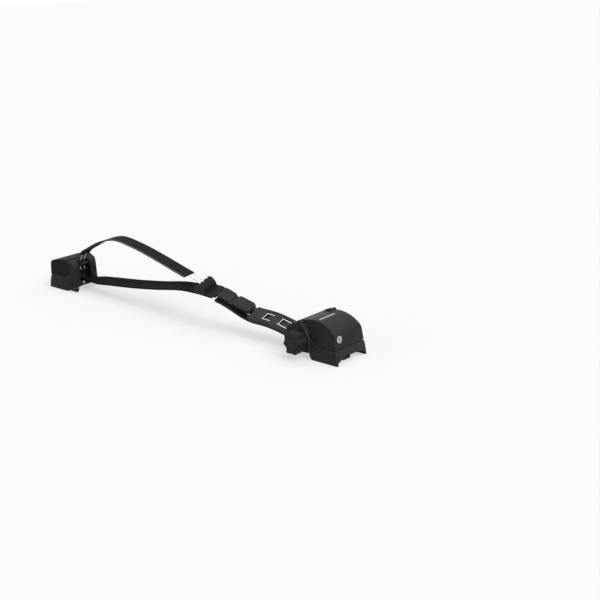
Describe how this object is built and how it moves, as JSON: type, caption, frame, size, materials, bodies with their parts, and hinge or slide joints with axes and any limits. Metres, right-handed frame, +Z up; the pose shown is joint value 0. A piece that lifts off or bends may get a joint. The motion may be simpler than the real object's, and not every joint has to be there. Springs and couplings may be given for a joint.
{
  "type": "crossbar tie-down strap carrier",
  "caption": "Roof bar tie-down carrier: an anchor housing and a lockable ratchet housing on one bar, joined by a wire-cored strap line with an upper sleeve.",
  "frame": {"origin": "middle of the anchor unit's seat on the crown of the roof bar, halfway between its two T-bolts", "axes": "+X along the roof bar from the anchor unit to the ratchet unit, +Y across the bar, +Z up away from the bar"},
  "size_m": [0.8486, 0.109, 0.1342],
  "materials": {
    "housing": "fine-grained moulded nylon, charcoal",
    "cover": "fine-grained moulded cover, charcoal",
    "knob": "smooth matte grip plastic",
    "nut": "black moulded nylon",
    "pad_rubber": "moulded rubber",
    "buckle": "semi-gloss moulded strap keeper",
    "strap": "smooth coated strap with raised edges",
    "sleeve": "woven protective sleeve",
    "wire": "stainless strap wire",
    "steel": "plated steel hardware",
    "label": "pale bare label strip",
    "lock": "bright lock barrel"
  },
  "bodies": {
    "root": {"anchor_base": "housing", "anchor_pad": "pad_rubber", "anchor_hinge_pin": "steel", "wire_bar": "steel", "wire_guide": "steel", "strap_pin": "steel", "strap_clevis": "steel", "clevis_rivets": "nut", "anchor_screws": "steel", "anchor_wires": "wire", "lower_strap": "strap", "upper_sleeve": "sleeve", "sleeve_wires": "wire", "buckle_hood": "buckle", "buckle_saddle": "nut", "buckle_pin": "steel", "belt_plate": "buckle", "strap_block_left": "pad_rubber", "strap_block_right": "pad_rubber", "ladder_pad": "pad_rubber", "belt_wire_near": "wire", "belt_wire_far": "wire", "ladder_rungs": "wire", "ratchet_base": "housing", "ratchet_pad": "pad_rubber", "ratchet_hinge_pin": "steel", "pawl_pin": "steel", "ratchet_screws": "steel"},
    "anchor_lid": {"anchor_cover": "cover"},
    "ratchet_lid": {"ratchet_cover": "cover", "label_plate": "label"},
    "lock": {"lock_barrel": "lock", "lock_cam": "steel"},
    "spool": {"drum_shaft": "steel", "wire_drum": "nut", "drum_winding": "wire", "ratchet_wheel": "steel", "tension_knob": "knob", "knob_cap": "knob"},
    "pawl": {"pawl_lever": "nut"},
    "anchor_bolt_a": {"anchor_bolt_outer": "steel"},
    "anchor_bolt_b": {"anchor_bolt_inner": "steel"},
    "anchor_nut_a": {"anchor_nut_outer": "nut"},
    "anchor_nut_b": {"anchor_nut_inner": "nut"},
    "ratchet_bolt_a": {"ratchet_bolt_left": "steel"},
    "ratchet_bolt_b": {"ratchet_bolt_right": "steel"},
    "ratchet_nut_a": {"ratchet_nut_left": "nut"},
    "ratchet_nut_b": {"ratchet_nut_right": "nut"}
  },
  "joints": [
    {"name": "anchor_lid_hinge", "type": "hinge", "parent": "root", "child": "anchor_lid", "pos_m": [0.027, 0, 0.05], "axis": [0, 1, 0], "range_deg": [0, 60]},
    {"name": "ratchet_lid_hinge", "type": "hinge", "parent": "root", "child": "ratchet_lid", "pos_m": [0.729, 0, 0.052], "axis": [0, -1, 0], "range_deg": [0, 70]},
    {"name": "lock_turn", "type": "hinge", "parent": "ratchet_lid", "child": "lock", "pos_m": [0.808, -0.026, 0.035], "axis": [0.9917, 0, 0.1288], "range_deg": [0, 90]},
    {"name": "knob_turn", "type": "hinge", "parent": "root", "child": "spool", "pos_m": [0.731, 0, 0.0225], "axis": [0, 1, 0], "continuous": true},
    {"name": "pawl_lift", "type": "hinge", "parent": "root", "child": "pawl", "pos_m": [0.754, 0.022, 0.0355], "axis": [0, 1, 0], "range_deg": [0, 14], "stiffness_Nm_per_rad": 0.02, "springref_deg": -34.38},
    {"name": "anchor_nut_a_turn", "type": "hinge", "parent": "root", "child": "anchor_nut_a", "pos_m": [-0.016, 0, 0.01], "axis": [0, 0, 1], "range_deg": [0, 720]},
    {"name": "anchor_nut_b_turn", "type": "hinge", "parent": "root", "child": "anchor_nut_b", "pos_m": [0.016, 0, 0.01], "axis": [0, 0, 1], "range_deg": [0, 720]},
    {"name": "ratchet_nut_a_turn", "type": "hinge", "parent": "root", "child": "ratchet_nut_a", "pos_m": [0.763, 0, 0.01], "axis": [0, 0, 1], "range_deg": [0, 720]},
    {"name": "ratchet_nut_b_turn", "type": "hinge", "parent": "root", "child": "ratchet_nut_b", "pos_m": [0.795, 0, 0.01], "axis": [0, 0, 1], "range_deg": [0, 720]},
    {"name": "anchor_bolt_a_slide", "type": "slide", "parent": "root", "child": "anchor_bolt_a", "axis": [0, 0, 1], "range_m": [0, 0.0025]},
    {"name": "anchor_bolt_b_slide", "type": "slide", "parent": "root", "child": "anchor_bolt_b", "axis": [0, 0, 1], "range_m": [0, 0.0025]},
    {"name": "ratchet_bolt_a_slide", "type": "slide", "parent": "root", "child": "ratchet_bolt_a", "axis": [0, 0, 1], "range_m": [0, 0.0025]},
    {"name": "ratchet_bolt_b_slide", "type": "slide", "parent": "root", "child": "ratchet_bolt_b", "axis": [0, 0, 1], "range_m": [0, 0.0025]}
  ],
  "couplings": [
    {"joint": "anchor_nut_a_turn", "follows": "anchor_bolt_a_slide", "rad_per_m": 5026.5},
    {"joint": "anchor_nut_b_turn", "follows": "anchor_bolt_b_slide", "rad_per_m": 5026.5},
    {"joint": "ratchet_nut_a_turn", "follows": "ratchet_bolt_a_slide", "rad_per_m": 5026.5},
    {"joint": "ratchet_nut_b_turn", "follows": "ratchet_bolt_b_slide", "rad_per_m": 5026.5}
  ]
}
